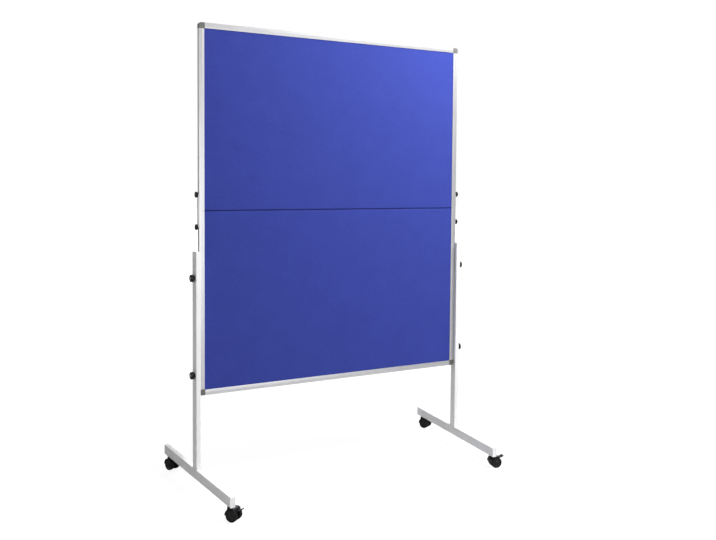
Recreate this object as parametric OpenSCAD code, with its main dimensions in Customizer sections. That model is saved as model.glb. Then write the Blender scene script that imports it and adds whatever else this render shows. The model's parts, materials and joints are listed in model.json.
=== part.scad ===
// Rolling partition: a folding felt pin board between two T-shaped legs on twin-wheel casters.
// Millimetres, +Z up, front of the board faces -Y, origin on the floor midway between the legs.

/* [Board] */
// Outer width of the board frame
board_w = 1250; // [700:10:1600]
// Outer height of the board frame, both halves together
board_h = 1500; // [1200:10:1800]
// Height of the board's lower edge above the floor
ground_gap = 393; // [250:1:500]
// Width of the frame rail seen from the front
rail_face = 23; // [21:0.5:32]
// Radius of the rounded outer side of the rail
side_crown_r = 63; // [40:1:120]
// Wall of the extruded rail
rail_wall = 1.5; // [1.2:0.1:2]
// Depth of the rail's lips over the panel
lip_depth = 11; // [9:0.5:13]
// Thickness of the lip where it meets the rail
lip_t = 2.2; // [1.8:0.1:3]
// How far the lip thins towards the felt
lip_fall = 1; // [0.4:0.1:1.4]
// Thickness of the panel's core
core_t = 12; // [9:0.5:16]
// Thickness of each felt covering
felt_t = 1.6; // [1:0.1:2.5]
// Radius of the core's rounded edges at the fold, under the felt
core_edge_r = 1.4; // [0.6:0.1:3]
// Gap between the covered panels at the fold
seam_gap = 0.5; // [0.3:0.1:4]
// Gap between the rails at the fold
rail_break = 0.4; // [0.3:0.1:1]
// How much longer the side of the square corner piece is than the rail is wide
corner_over = 2; // [1:0.5:6]
// Radius of the corner piece's outer corner
corner_r = 12; // [4:0.5:14]
// How far the corner piece stands out in front of and behind the rails
corner_proud = 0.4; // [0.2:0.1:1]
// Length of the corner piece's tongues inside the rails
tongue_len = 40; // [20:1:60]

/* [Fold] */
// Distance of the hinge axis behind the rails
hinge_out = 3; // [2.8:0.1:4]
// Diameter of the hinge pin
hinge_pin_d = 3; // [2.5:0.1:3.4]
// Thickness of a hinge leaf
leaf_t = 1.5; // [1:0.1:1.6]
// Height of a hinge leaf from the axis
leaf_h = 34; // [28:1:50]
// Width of the hinge
leaf_w = 20; // [18:1:22]
// Diameter of the hinge screws
hinge_screw_d = 3; // [2.5:0.1:3.5]
// Width of the locking strap
strap_w = 16; // [15:0.5:18]
// Thickness of the locking strap
strap_t = 1.5; // [1:0.1:2.5]
// Distance of each fold knob from the fold
fold_knob_offset = 65; // [50:1:80]

/* [Knobs] */
// Diameter of a fold knob
fold_knob_d = 24; // [18:0.5:24.5]
// Height of a fold knob
fold_knob_h = 11; // [8:0.5:14]
// Diameter of a fold knob's stud
fold_stud_d = 6; // [5:0.5:6]
// Diameter of a leg knob
leg_knob_d = 30; // [24:0.5:36]
// Height of a leg knob
leg_knob_h = 16; // [12:0.5:20]
// Diameter of a leg knob's stud
leg_stud_d = 8; // [6:0.5:8]
// Number of finger grooves round a knob
knob_grooves = 10; // [6:1:12]
// Distance of the lower leg knob above the board's lower edge
low_knob_rise = 86; // [60:1:150]
// Distance of the upper leg knob below the top of the leg
high_knob_drop = 107; // [60:1:150]

/* [Legs] */
// Long side of the leg tube's section
tube_deep = 40; // [30:1:50]
// Short side of the leg tube's section
tube_wide = 20; // [18:1:25]
// Wall of the leg tube
tube_wall = 1.5; // [1.2:0.1:2]
// Outer corner radius of the leg tube
tube_r = 2.5; // [2:0.1:3]
// Distance from the top of the leg down from the fold
post_drop = 163; // [140:1:260]
// Length of the foot beam, without its end plugs
foot_len = 700; // [500:10:800]
// Angle by which the front of each foot turns in
toe_in = 4.6; // [0:0.1:6]
// Thickness of a tube plug's cover
plug_t = 2.5; // [2:0.1:4]
// Length of a tube plug inside its tube
plug_len = 14; // [8:1:20]
// Diameter of the bolts between foot and post
foot_bolt_d = 8; // [6:0.5:8]
// Spacing of the bolts between foot and post
foot_bolt_gap = 20; // [18:1:22]
// Height of the threaded block in the foot of the post
post_block_h = 30; // [20:1:40]

/* [Casters] */
// Height from the floor to the underside of the foot beam
caster_h = 55; // [54:0.5:65]
// Diameter of a wheel
wheel_d = 48; // [44:1:49]
// Width of one wheel
wheel_w = 16; // [13:0.5:18]
// Width of the hood's middle web between the wheels
web_w = 12; // [12:0.5:14]
// Distance from the swivel axis back to the axle
caster_trail = 21; // [18:0.5:22]
// Diameter of the axle
axle_d = 6; // [5:0.5:7]
// Diameter of the swivel pin
pin_d = 8; // [6:0.5:8]
// Distance from the end of the foot beam to the swivel axis
caster_inset = 30; // [24:1:45]
// Thickness of the hood over the wheels
hood_t = 2; // [1.6:0.1:2.4]
// Width of the brake pedal
pedal_w = 22; // [16:1:30]
// Length of the brake pedal
pedal_len = 15; // [10:0.5:18]
// Direction in which the left front caster trails, from +X towards +Y
left_front_heading = -54; // [-180:1:180]
// Direction in which the left rear caster trails
left_rear_heading = -69; // [-180:1:180]
// Direction in which the right front caster trails
right_front_heading = -14; // [-180:1:180]
// Direction in which the right rear caster trails
right_rear_heading = -64; // [-180:1:180]

/* [Hidden] */
$fn = 64;

LEFT = -1;
RIGHT = 1;
FRONT = -1;
REAR = 1;

// Fits: radial play of a turning pin, sliding play between flat faces, play round the panel
turn_fit = 0.08;
slide_fit = 0.1;
board_fit = 0.2;

// Board
half_h = board_h / 2;
side_x = board_w / 2;
fold_z = ground_gap + half_h;
frame_half = core_t / 2 + felt_t + board_fit + lip_t;
corner_size = rail_face + corner_over;
slot_half = frame_half - lip_t;
channel_u = rail_face - lip_depth;
chamber_d = channel_u - 2 * rail_wall;
chamber_half = frame_half - rail_wall;
panel_half_w = side_x - channel_u - board_fit;
panel_low = channel_u + board_fit;
panel_h = half_h - panel_low - seam_gap / 2;
side_rail_h = half_h - corner_size - rail_break / 2;
cross_rail_len = board_w - 2 * corner_size;
groove_w = 1.2;
groove_depth = 0.6;
insert_h = 22;

// Fold
hinge_y = frame_half + hinge_out;
knuckle_r = hinge_out - slide_fit;
knuckle_len = leaf_w / 3;
hinge_x = side_x - rail_face / 2;
strap_x = side_x + slide_fit;
fold_knob_x = strap_x + strap_t + slide_fit;
stud_arc_r = norm([hinge_y, fold_knob_offset]);
strap_half = strap_w / 2;
stud_rise = sqrt(pow(stud_arc_r, 2) - pow(hinge_y - strap_half, 2)) - fold_knob_offset;
strap_slot_angle = atan(stud_rise / strap_half);
strap_slot_half = fold_stud_d / 2 + 0.6;
screw_head_h = 1;
screw_head_d = hinge_screw_d * 2;
screw_depth = 7;

// Legs
post_top_z = fold_z - post_drop;
foot_top_z = caster_h + tube_deep;
post_h = post_top_z - plug_t - foot_top_z;
leg_x = side_x + tube_wide / 2;
crown_x = side_x - side_crown_r;
low_knob_z = ground_gap + low_knob_rise;
high_knob_z = post_top_z - high_knob_drop;
leg_stud_reach = tube_wide + rail_wall + chamber_d - 1;
bolt_head_play = 2;
bolt_head_d = tube_wide - 2 * (tube_wall + bolt_head_play);
bolt_head_z = caster_h + tube_deep - tube_wall - foot_bolt_d;
bolt_socket_d = foot_bolt_d * 0.86;
bolt_grip = post_block_h - 6;

// Casters
axle_z = wheel_d / 2;
wheel_gap = 0.6;
wheel_r = wheel_d / 2;
hood_in_r = wheel_r + 1.2;
hood_out_r = hood_in_r + hood_t;
hood_w = web_w + 2 * (wheel_gap + wheel_w);
wheel_y = web_w / 2 + wheel_gap;
hub_depth = wheel_w - 3;
hub_t = 5;
hub_cap_r = axle_d / 2 + hub_t;
rim_t = 5;
shoulder_r = 2.5;
dish_depth = 2;
axle_len = web_w + 2 * (wheel_gap + hub_depth - 0.5);
sleeve_flange_t = 3;
boss_r = pin_d / 2 + 3;
boss_top_z = caster_h - sleeve_flange_t - 0.2;
pin_low_rise = 8;
pin_low_z = axle_z + pin_low_rise;
sleeve_up = tube_deep - tube_wall - 4;
sleeve_r = pin_d / 2 + 2.5;
sleeve_flange_in = 1.5;
sleeve_flange_out = 3;
hood_back_angle = 54;
hood_front_angle = 182;
pedal_angle = 20;
pedal_swing = 14;
lever_pivot_r = 2;
lever_pivot = [cos(50), sin(50)] * (wheel_r - 4);
lever_arm_w = 5.6;
lever_arm_len = 10;
pedal_t = 2.6;

// A point of a leg in the leg's own upright plane, turned in by the toe angle
function leg_point(side, x, y) =
    [side * (crown_x + (x - crown_x) * cos(toe_in) + y * sin(toe_in)),
     -(x - crown_x) * sin(toe_in) + y * cos(toe_in)];
function caster_xy(side, end) = leg_point(side, leg_x, end * (foot_len / 2 - caster_inset));

// Turns a right-hand leg piece about the centre of the rail's rounded side; mirrors it for the left
module on_leg(side)
    mirror([side == LEFT ? 1 : 0, 0, 0])
        translate([crown_x, 0, 0])
            rotate([0, 0, -toe_in])
                translate([-crown_x, 0, 0])
                    children();

module on_side(side)
    mirror([side == LEFT ? 1 : 0, 0, 0])
        children();

// Puts a piece drawn with its base at the origin and its height along +Z onto the axis along +X
module along_x(x, y, z)
    translate([x, y, z])
        rotate([0, 90, 0])
            children();

// ---- board frame ----

// Rail section: x runs from the outer side inwards, y across the thickness
module rail_section() {
    difference() {
        intersection() {
            translate([0, -frame_half])
                square([rail_face, 2 * frame_half]);
            translate([side_crown_r, 0])
                circle(side_crown_r, $fn = 128);
        }
        translate([rail_wall, -chamber_half])
            square([chamber_d, 2 * chamber_half]);
        translate([channel_u, -slot_half])
            square([lip_depth + 1, 2 * slot_half]);
        for (face = [-1, 1])
            scale([1, face]) {
                polygon([[channel_u, frame_half], [rail_face + 1, frame_half - lip_fall],
                    [rail_face + 1, frame_half + 1], [channel_u, frame_half + 1]]);
                translate([channel_u - groove_w / 2, frame_half - groove_depth])
                    square([groove_w, groove_depth + 1]);
            }
    }
}

// Upright rail of one half, from its corner piece to the fold
module side_rail(low_z) {
    translate([side_x, 0, low_z])
        mirror([1, 0, 0])
            linear_extrude(side_rail_h)
                rail_section();
}

// Horizontal rail between two corner pieces, outer side down
module cross_rail() {
    translate([cross_rail_len / 2, 0, 0])
        rotate([0, -90, 0])
            linear_extrude(cross_rail_len)
                rail_section();
}

module fold_stud_hole(z)
    along_x(side_x - rail_wall - chamber_d, 0, z)
        cylinder(r = fold_stud_d / 2 + turn_fit, h = rail_wall + chamber_d + 1);

module hinge_screw_holes(sense)
    for (z = hinge_screw_heights(sense))
        translate([side_x - rail_wall - chamber_d / 2, frame_half + 1, z])
            rotate([90, 0, 0])
                cylinder(d = hinge_screw_d, h = screw_depth + 1);

function hinge_screw_heights(sense) = [fold_z + sense * leaf_h * 0.4, fold_z + sense * leaf_h * 0.78];

module lower_side_rail(side)
    color("gainsboro")
        difference() {
            on_side(side)
                difference() {
                    side_rail(ground_gap + corner_size);
                    fold_stud_hole(fold_z - fold_knob_offset);
                    hinge_screw_holes(-1);
                }
            on_leg(side)
                for (z = [low_knob_z, high_knob_z])
                    along_x(side_x - rail_wall - chamber_d, 0, z)
                        cylinder(r = leg_stud_d / 2 + turn_fit, h = rail_wall + chamber_d + 1);
        }

module upper_side_rail(side)
    color("gainsboro")
        on_side(side)
            difference() {
                side_rail(fold_z + rail_break / 2);
                fold_stud_hole(fold_z + fold_knob_offset);
                hinge_screw_holes(1);
            }

module bottom_rail()
    color("gainsboro")
        translate([0, 0, ground_gap])
            cross_rail();

module top_rail()
    color("gainsboro")
        translate([0, 0, ground_gap + board_h])
            mirror([0, 0, 1])
                cross_rail();

// Rounded square of the corner piece, corner at the origin, body towards +x and +y
module corner_outline() {
    translate([corner_r, 0])
        square([corner_size - corner_r, corner_size]);
    translate([0, corner_r])
        square([corner_size, corner_size - corner_r]);
    translate([corner_r, corner_r])
        circle(corner_r);
}

// What lies above the sloping lip of an upright rail, over a corner piece's height
module lip_wedge(face_y) {
    beyond = corner_size + 1;
    translate([0, 0, -1])
        linear_extrude(corner_size + 2)
            polygon([[channel_u, face_y], [beyond, face_y - lip_fall * (beyond - channel_u) / lip_depth],
                [beyond, face_y + 1], [channel_u, face_y + 1]]);
}

// Moulded corner piece: cover with the two rails' sloping lips meeting on a hip, slot for the panel
// and one tongue into each rail
module corner_cap() {
    cover_half = frame_half + corner_proud;
    tongue_fit = 0.15;
    difference() {
        intersection() {
            rotate([90, 0, 0])
                translate([0, 0, -cover_half])
                    linear_extrude(2 * cover_half)
                        corner_outline();
            translate([side_crown_r, 0, -1])
                cylinder(r = side_crown_r, h = corner_size + 2, $fn = 128);
            translate([-1, 0, side_crown_r])
                rotate([0, 90, 0])
                    cylinder(r = side_crown_r, h = corner_size + 2, $fn = 128);
        }
        translate([channel_u, -slot_half, channel_u])
            cube([corner_size, 2 * slot_half, corner_size]);
        for (face = [-1, 1])
            scale([1, face, 1])
                intersection() {
                    lip_wedge(cover_half);
                    // The same wedge along the other rail
                    rotate([0, -90, 0])
                        mirror([0, 0, 1])
                            lip_wedge(cover_half);
                }
    }
    translate([rail_wall + tongue_fit, -chamber_half + tongue_fit, corner_size])
        cube([chamber_d - 2 * tongue_fit, 2 * (chamber_half - tongue_fit), tongue_len]);
    translate([corner_size, -chamber_half + tongue_fit, rail_wall + tongue_fit])
        cube([tongue_len, 2 * (chamber_half - tongue_fit), chamber_d - 2 * tongue_fit]);
}

module lower_corner_caps()
    color("dimgray")
        for (side = [LEFT, RIGHT])
            translate([0, 0, ground_gap])
                mirror([side == RIGHT ? 1 : 0, 0, 0])
                    translate([-side_x, 0, 0])
                        corner_cap();

module upper_corner_caps()
    color("dimgray")
        for (side = [LEFT, RIGHT])
            translate([0, 0, ground_gap + board_h])
                mirror([0, 0, 1])
                    mirror([side == RIGHT ? 1 : 0, 0, 0])
                        translate([-side_x, 0, 0])
                            corner_cap();

// ---- panels ----

// Panel section: x across the thickness, y towards the fold, where its edges are round. It is drawn
// for the bare core and, grown by the felt, for the covered one.
module panel_section(growth) {
    edge_r = core_edge_r + growth;
    half = core_t / 2 + growth;
    edge_y = panel_h - felt_t - core_edge_r;
    translate([-half, 0])
        square([2 * half, edge_y]);
    translate([edge_r - half, 0])
        square([2 * (half - edge_r), edge_y + edge_r]);
    for (x = [edge_r - half, half - edge_r])
        translate([x, edge_y])
            circle(edge_r);
}

// Lays a panel section out along the width; sense is -1 for the lower panel, 1 for the upper one
module panel_slab(sense)
    translate([-panel_half_w, 0, fold_z + sense * (seam_gap / 2 + panel_h)])
        mirror([0, 0, sense > 0 ? 1 : 0])
            rotate([90, 0, 90])
                linear_extrude(2 * panel_half_w)
                    children();

module core_board(sense)
    color("tan")
        panel_slab(sense)
            panel_section(0);

// Felt on one face of a panel, wrapped over the edge at the fold to the middle of the thickness
module felt_cover(sense, face)
    color("royalblue")
        panel_slab(sense)
            intersection() {
                difference() {
                    panel_section(felt_t);
                    panel_section(0);
                }
                scale([face, 1])
                    square([core_t, panel_h + 1]);
            }

// ---- fold hinge and locking strap ----

// One leaf; sense is -1 for the lower leaf with two knuckles, 1 for the upper one with one
module hinge_leaf(sense) {
    knuckles = sense > 0 ? [1] : [0, 2];
    bore_r = hinge_pin_d / 2 + (sense > 0 ? turn_fit : 0);
    plate_low = knuckle_r + 0.6;
    tab_top = sense > 0 ? plate_low : -plate_low;
    difference() {
        union() {
            translate([-leaf_w / 2, frame_half, sense > 0 ? plate_low : -leaf_h])
                cube([leaf_w, leaf_t, leaf_h - plate_low]);
            for (k = knuckles)
                translate([-leaf_w / 2 + k * knuckle_len + slide_fit, 0, 0]) {
                    translate([0, frame_half + slide_fit, min(0, tab_top)])
                        cube([knuckle_len - 2 * slide_fit, leaf_t - slide_fit, plate_low]);
                    translate([0, hinge_y, 0])
                        rotate([0, 90, 0])
                            cylinder(r = knuckle_r, h = knuckle_len - 2 * slide_fit);
                }
        }
        translate([-leaf_w / 2 - 1, hinge_y, 0])
            rotate([0, 90, 0])
                cylinder(r = bore_r, h = leaf_w + 2);
        for (z = hinge_screw_heights(sense))
            translate([hinge_x - side_x + rail_face / 2 + screw_x, frame_half - 1, z - fold_z])
                rotate([-90, 0, 0])
                    cylinder(d = hinge_screw_d, h = leaf_t + 2);
    }
}

// Screw line measured from the middle of the hinge, over the rail's chamber
screw_x = rail_face / 2 - rail_wall - chamber_d / 2;

module hinge_leaves(sense)
    color("silver")
        for (side = [LEFT, RIGHT])
            on_side(side)
                translate([hinge_x, 0, fold_z])
                    hinge_leaf(sense);

module hinge_screws(sense)
    color("silver")
        for (side = [LEFT, RIGHT])
            on_side(side)
                for (z = hinge_screw_heights(sense))
                    translate([hinge_x + screw_x, frame_half + leaf_t, z])
                        rotate([90, 0, 0]) {
                            cylinder(d = hinge_screw_d, h = leaf_t + screw_depth);
                            translate([0, 0, -screw_head_h])
                                cylinder(d1 = screw_head_d * 0.8, d2 = screw_head_d, h = screw_head_h);
                        }

module hinge_pins()
    color("silver")
        for (side = [LEFT, RIGHT])
            on_side(side)
                translate([hinge_x - leaf_w / 2 + slide_fit, hinge_y, fold_z])
                    rotate([0, 90, 0])
                        cylinder(d = hinge_pin_d, h = leaf_w - 2 * slide_fit);

// Flat strap on the lower fold knob. Its upper slot opens to the back, level for the strap's own
// swing and sloped for the upper stud's arc about the fold.
module fold_strap(side)
    color("silver")
        on_side(side)
            translate([strap_x, 0, fold_z])
                rotate([90, 0, 90])
                    linear_extrude(strap_t)
                        difference() {
                            union() {
                                translate([-strap_half, -fold_knob_offset])
                                    square([strap_w, 2 * fold_knob_offset]);
                                for (z = [-fold_knob_offset, fold_knob_offset])
                                    translate([0, z])
                                        circle(strap_half);
                            }
                            translate([0, -fold_knob_offset])
                                circle(fold_stud_d / 2 + turn_fit);
                            translate([0, fold_knob_offset]) {
                                circle(strap_slot_half);
                                for (slope = [0, strap_slot_angle])
                                    rotate(slope)
                                        translate([0, -strap_slot_half])
                                            square([strap_w, 2 * strap_slot_half]);
                            }
                        }

// ---- knobs and the threaded blocks they screw into ----

// Grooved grip on a flange, base at the origin, height along +z
module knob_grip(d, h) {
    flange_h = h * 0.22;
    groove_r = d * 0.11;
    difference() {
        rotate_extrude()
            polygon([[0, 0], [d * 0.36, 0], [d * 0.36, flange_h], [d / 2 - 1, flange_h + 0.6],
                [d / 2, flange_h + 1.8], [d / 2, h - 2.4], [d / 2 - 0.8, h - 1],
                [d / 2 - 2.4, h - 0.2], [d * 0.24, h], [d * 0.22, h - 0.8], [0, h - 0.8]]);
        for (i = [0 : knob_grooves - 1])
            rotate([0, 0, i * 360 / knob_grooves])
                translate([d / 2 + groove_r * 0.45, 0, flange_h])
                    cylinder(r = groove_r, h = h, $fn = 32);
    }
}

module clamp_knob(d, h, stud_d, reach) {
    knob_grip(d, h);
    translate([0, 0, -reach])
        cylinder(d = stud_d, h = reach);
}

module fold_knob(side, sense)
    color("black")
        on_side(side)
            along_x(fold_knob_x, 0, fold_z + sense * fold_knob_offset)
                clamp_knob(fold_knob_d, fold_knob_h, fold_stud_d, fold_knob_x - side_x + channel_u - rail_wall - 1);

module leg_knob(side, z)
    color("black")
        on_leg(side)
            along_x(side_x + tube_wide, 0, z)
                clamp_knob(leg_knob_d, leg_knob_h, leg_stud_d, leg_stud_reach);

// Threaded block in the rail's chamber
module insert_block(z)
    translate([side_x - rail_wall - chamber_d + slide_fit, -chamber_half + slide_fit, z - insert_h / 2])
        cube([chamber_d - slide_fit, 2 * (chamber_half - slide_fit), insert_h]);

module lower_inserts()
    color("silver")
        for (side = [LEFT, RIGHT]) {
            on_side(side)
                difference() {
                    insert_block(fold_z - fold_knob_offset);
                    fold_stud_hole(fold_z - fold_knob_offset);
                }
            for (z = [low_knob_z, high_knob_z])
                difference() {
                    on_side(side)
                        insert_block(z);
                    on_leg(side)
                        along_x(side_x - rail_wall - chamber_d - 1, 0, z)
                            cylinder(r = leg_stud_d / 2 + turn_fit, h = chamber_d + 4);
                }
        }

module upper_inserts()
    color("silver")
        for (side = [LEFT, RIGHT])
            on_side(side)
                difference() {
                    insert_block(fold_z + fold_knob_offset);
                    fold_stud_hole(fold_z + fold_knob_offset);
                }

// ---- legs ----

module round_box(a, b, r) {
    square([a - 2 * r, b], center = true);
    square([a, b - 2 * r], center = true);
    for (x = [-1, 1], y = [-1, 1])
        translate([x * (a / 2 - r), y * (b / 2 - r)])
            circle(r, $fn = 32);
}

module tube_section()
    difference() {
        round_box(tube_wide, tube_deep, tube_r);
        square([tube_wide - 2 * tube_wall, tube_deep - 2 * tube_wall], center = true);
    }

module post(side)
    color("whitesmoke")
        on_leg(side)
            difference() {
                translate([leg_x, 0, foot_top_z])
                    linear_extrude(post_h)
                        tube_section();
                for (z = [low_knob_z, high_knob_z])
                    along_x(side_x - 1, 0, z)
                        cylinder(r = leg_stud_d / 2 + turn_fit, h = tube_wide + 2);
            }

// Foot beam with holes for the post's bolts, wider below for their heads, and for the casters'
// sleeves
module foot(side)
    color("whitesmoke")
        on_leg(side)
            difference() {
                translate([leg_x, foot_len / 2, caster_h + tube_deep / 2])
                    rotate([90, 0, 0])
                        linear_extrude(foot_len)
                            tube_section();
                for (y = [-1, 1] * foot_bolt_gap / 2) {
                    translate([leg_x, y, caster_h + tube_deep / 2])
                        cylinder(d = foot_bolt_d, h = tube_deep);
                    translate([leg_x, y, caster_h - 1])
                        cylinder(d = bolt_head_d + 1.5, h = tube_wall + 2);
                }
                for (end = [FRONT, REAR])
                    translate([leg_x, end * (foot_len / 2 - caster_inset), caster_h - 1])
                        cylinder(r = sleeve_r, h = tube_wall + 1.5);
            }

// Plug that closes a tube: cover and hollow spigot
module tube_plug() {
    spigot_wide = tube_wide - 2 * tube_wall - 0.2;
    spigot_deep = tube_deep - 2 * tube_wall - 0.2;
    linear_extrude(plug_t)
        round_box(tube_wide, tube_deep, tube_r);
    translate([0, 0, -plug_len])
        linear_extrude(plug_len)
            difference() {
                square([spigot_wide, spigot_deep], center = true);
                square([spigot_wide - 4, spigot_deep - 4], center = true);
            }
}

module tube_plugs()
    color("whitesmoke")
        for (side = [LEFT, RIGHT])
            on_leg(side) {
                translate([leg_x, 0, post_top_z - plug_t])
                    tube_plug();
                for (end = [FRONT, REAR])
                    translate([leg_x, end * foot_len / 2, caster_h + tube_deep / 2])
                        rotate([-90 * end, 0, 0])
                            tube_plug();
            }

// Socket head screws, heads inside the foot beam under its upper wall
module foot_bolts()
    color("silver")
        for (side = [LEFT, RIGHT])
            on_leg(side)
                for (y = [-1, 1] * foot_bolt_gap / 2)
                    translate([leg_x, y, bolt_head_z])
                        difference() {
                            union() {
                                cylinder(d = bolt_head_d, h = foot_bolt_d);
                                cylinder(d = foot_bolt_d, h = foot_bolt_d + tube_wall + bolt_grip);
                            }
                            translate([0, 0, -1])
                                cylinder(d = bolt_socket_d, h = foot_bolt_d / 2 + 1, $fn = 6);
                        }

// Threaded block in the foot of each post
module post_blocks()
    color("silver")
        for (side = [LEFT, RIGHT])
            on_leg(side)
                difference() {
                    translate([leg_x, 0, foot_top_z])
                        linear_extrude(post_block_h)
                            square([tube_wide - 2 * tube_wall, tube_deep - 2 * tube_wall] -
                                [2, 2] * slide_fit, center = true);
                    for (y = [-1, 1] * foot_bolt_gap / 2)
                        translate([leg_x, y, foot_top_z - 1])
                            cylinder(d = foot_bolt_d, h = bolt_grip + 1);
                }

// ---- casters ----

// Sleeve in the foot beam with its flange under it
module caster_sleeves()
    color("whitesmoke")
        for (side = [LEFT, RIGHT], end = [FRONT, REAR])
            on_leg(side)
                translate([leg_x, end * (foot_len / 2 - caster_inset), caster_h])
                    difference() {
                        union() {
                            cylinder(r = sleeve_r, h = sleeve_up);
                            translate([0, 0, -sleeve_flange_t])
                                cylinder(r1 = sleeve_r + sleeve_flange_in, r2 = sleeve_r + sleeve_flange_out,
                                    h = sleeve_flange_t);
                        }
                        translate([0, 0, -sleeve_flange_t - 1])
                            cylinder(d = pin_d, h = sleeve_up - 2);
                    }

module caster_pins()
    color("silver")
        for (side = [LEFT, RIGHT], end = [FRONT, REAR])
            on_leg(side)
                translate([leg_x, end * (foot_len / 2 - caster_inset), pin_low_z])
                    cylinder(d = pin_d, h = caster_h - sleeve_flange_t - 1 + sleeve_up - 2 - pin_low_z);

// Places a caster piece: origin on the floor under the swivel axis, +x trailing, +y along the axle
module on_caster(side, end, heading)
    translate(concat(caster_xy(side, end), [0]))
        rotate([0, 0, heading])
            children();

// Side view shapes are drawn round the axle, x trailing and y up
module side_view(width)
    translate([caster_trail, 0, axle_z])
        rotate([90, 0, 0])
            linear_extrude(width, center = true)
                children();

module wedge(from, to, r)
    polygon(concat([[0, 0]], [for (i = [0 : 8]) let (a = from + (to - from) * i / 8) r * [cos(a), sin(a)]]));

// Fender over both wheels, middle web, swivel boss and ears for the brake lever
module caster_hood() {
    boss_back = -caster_trail;
    brace_low = 12;
    difference() {
        union() {
            side_view(hood_w)
                intersection() {
                    difference() {
                        circle(hood_out_r);
                        circle(hood_in_r);
                    }
                    wedge(hood_back_angle, hood_front_angle, 2 * hood_out_r);
                }
            side_view(web_w) {
                circle(axle_d / 2 + 8);
                intersection() {
                    circle(hood_in_r + 0.5);
                    wedge(hood_back_angle, hood_front_angle, 2 * hood_out_r);
                }
                translate(lever_pivot)
                    circle(lever_pivot_r + 3.5);
                translate([boss_back - boss_r + 1, 4])
                    square([2 * boss_r - 2, hood_out_r - 8]);
            }
            translate([0, 0, axle_z + hood_out_r * 0.62])
                cylinder(r = boss_r, h = boss_top_z - axle_z - hood_out_r * 0.62);
            side_view(web_w - 2)
                polygon([[boss_back, boss_top_z - axle_z - 2], [boss_back + boss_r, boss_top_z - axle_z - 2],
                    [-2, hood_out_r - 0.4], [boss_back, brace_low]]);
        }
        translate([0, 0, pin_low_z - 0.3])
            cylinder(r = pin_d / 2 + turn_fit, h = caster_h);
        side_view(web_w + 2)
            circle(axle_d / 2);
        side_view(web_w + 2)
            translate(lever_pivot)
                circle(lever_pivot_r + turn_fit);
        side_view(lever_arm_w + 2 * slide_fit + 0.2)
            translate(lever_pivot) {
                circle(lever_pivot_r + 2.3);
                wedge(pedal_angle - pedal_swing - 34, pedal_angle + 58, 4 * lever_arm_len);
            }
        // The fender ends square in front of the pedal
        side_view(pedal_w + 1)
            translate(lever_pivot)
                wedge(pedal_angle - pedal_swing - 34, pedal_angle + 34, 4 * lever_arm_len);
    }
}

module caster_axle()
    translate([caster_trail, axle_len / 2, axle_z])
        rotate([90, 0, 0])
            cylinder(d = axle_d, h = axle_len);

// Wheel section: x from the axle to the tread, y from the web to the outer face. The tyre has round
// shoulders, the disc is dished on both sides between rim and hub, and a cap closes the bore.
module wheel_section() {
    rim_in_r = wheel_r - rim_t;
    translate([rim_in_r, 0])
        square([rim_t - shoulder_r, wheel_w]);
    translate([rim_in_r, shoulder_r])
        square([rim_t, wheel_w - 2 * shoulder_r]);
    for (y = [shoulder_r, wheel_w - shoulder_r])
        translate([wheel_r - shoulder_r, y])
            circle(shoulder_r, $fn = 32);
    translate([axle_d / 2 + turn_fit, dish_depth])
        square([rim_in_r - axle_d / 2 - turn_fit + 0.1, wheel_w - 2 * dish_depth]);
    translate([axle_d / 2 + turn_fit, 0])
        square([hub_t, dish_depth + 0.1]);
    polygon([[0, hub_depth], [hub_cap_r, hub_depth], [hub_cap_r, wheel_w - 0.8],
        [hub_cap_r - 1.6, wheel_w], [0, wheel_w]]);
}

module caster_wheel(sense)
    translate([caster_trail, sense * wheel_y, axle_z])
        rotate([-90 * sense, 0, 0])
            rotate_extrude($fn = 96)
                wheel_section();

// Brake lever: trunnions in the hood's ears, arm and foot pedal
module brake_lever() {
    side_view(web_w - 0.4)
        translate(lever_pivot)
            circle(lever_pivot_r);
    side_view(lever_arm_w)
        translate(lever_pivot) {
            circle(lever_pivot_r + 1.8);
            rotate(pedal_angle)
                translate([0, -pedal_t / 2])
                    square([lever_arm_len, pedal_t]);
        }
    side_view(pedal_w)
        translate(lever_pivot)
            rotate(pedal_angle)
                translate([lever_arm_len - 1, -pedal_t / 2]) {
                    square([pedal_len, pedal_t]);
                    translate([pedal_len, pedal_t])
                        circle(pedal_t);
                }
}

module left_front() on_caster(LEFT, FRONT, left_front_heading) children();
module left_rear() on_caster(LEFT, REAR, left_rear_heading) children();
module right_front() on_caster(RIGHT, FRONT, right_front_heading) children();
module right_rear() on_caster(RIGHT, REAR, right_rear_heading) children();

lower_side_rail(LEFT);  // lower_left_rail
lower_side_rail(RIGHT);  // lower_right_rail
bottom_rail();
lower_corner_caps();
core_board(-1);  // lower_core
felt_cover(-1, FRONT);  // lower_front_felt
felt_cover(-1, REAR);  // lower_back_felt
hinge_leaves(-1);  // lower_hinge_leaves
hinge_screws(-1);  // lower_hinge_screws
hinge_pins();
lower_inserts();
post(LEFT);  // left_post
post(RIGHT);  // right_post
foot(LEFT);  // left_foot
foot(RIGHT);  // right_foot
tube_plugs();
foot_bolts();
post_blocks();
caster_sleeves();
caster_pins();
upper_side_rail(LEFT);  // upper_left_rail
upper_side_rail(RIGHT);  // upper_right_rail
top_rail();
upper_corner_caps();
core_board(1);  // upper_core
felt_cover(1, FRONT);  // upper_front_felt
felt_cover(1, REAR);  // upper_back_felt
hinge_leaves(1);  // upper_hinge_leaves
hinge_screws(1);  // upper_hinge_screws
upper_inserts();
fold_strap(LEFT);  // left_strap
fold_strap(RIGHT);  // right_strap
fold_knob(LEFT, 1);  // left_upper_fold_knob
fold_knob(LEFT, -1);  // left_lower_fold_knob
fold_knob(RIGHT, 1);  // right_upper_fold_knob
fold_knob(RIGHT, -1);  // right_lower_fold_knob
leg_knob(LEFT, high_knob_z);  // left_upper_leg_knob
leg_knob(LEFT, low_knob_z);  // left_lower_leg_knob
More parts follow.
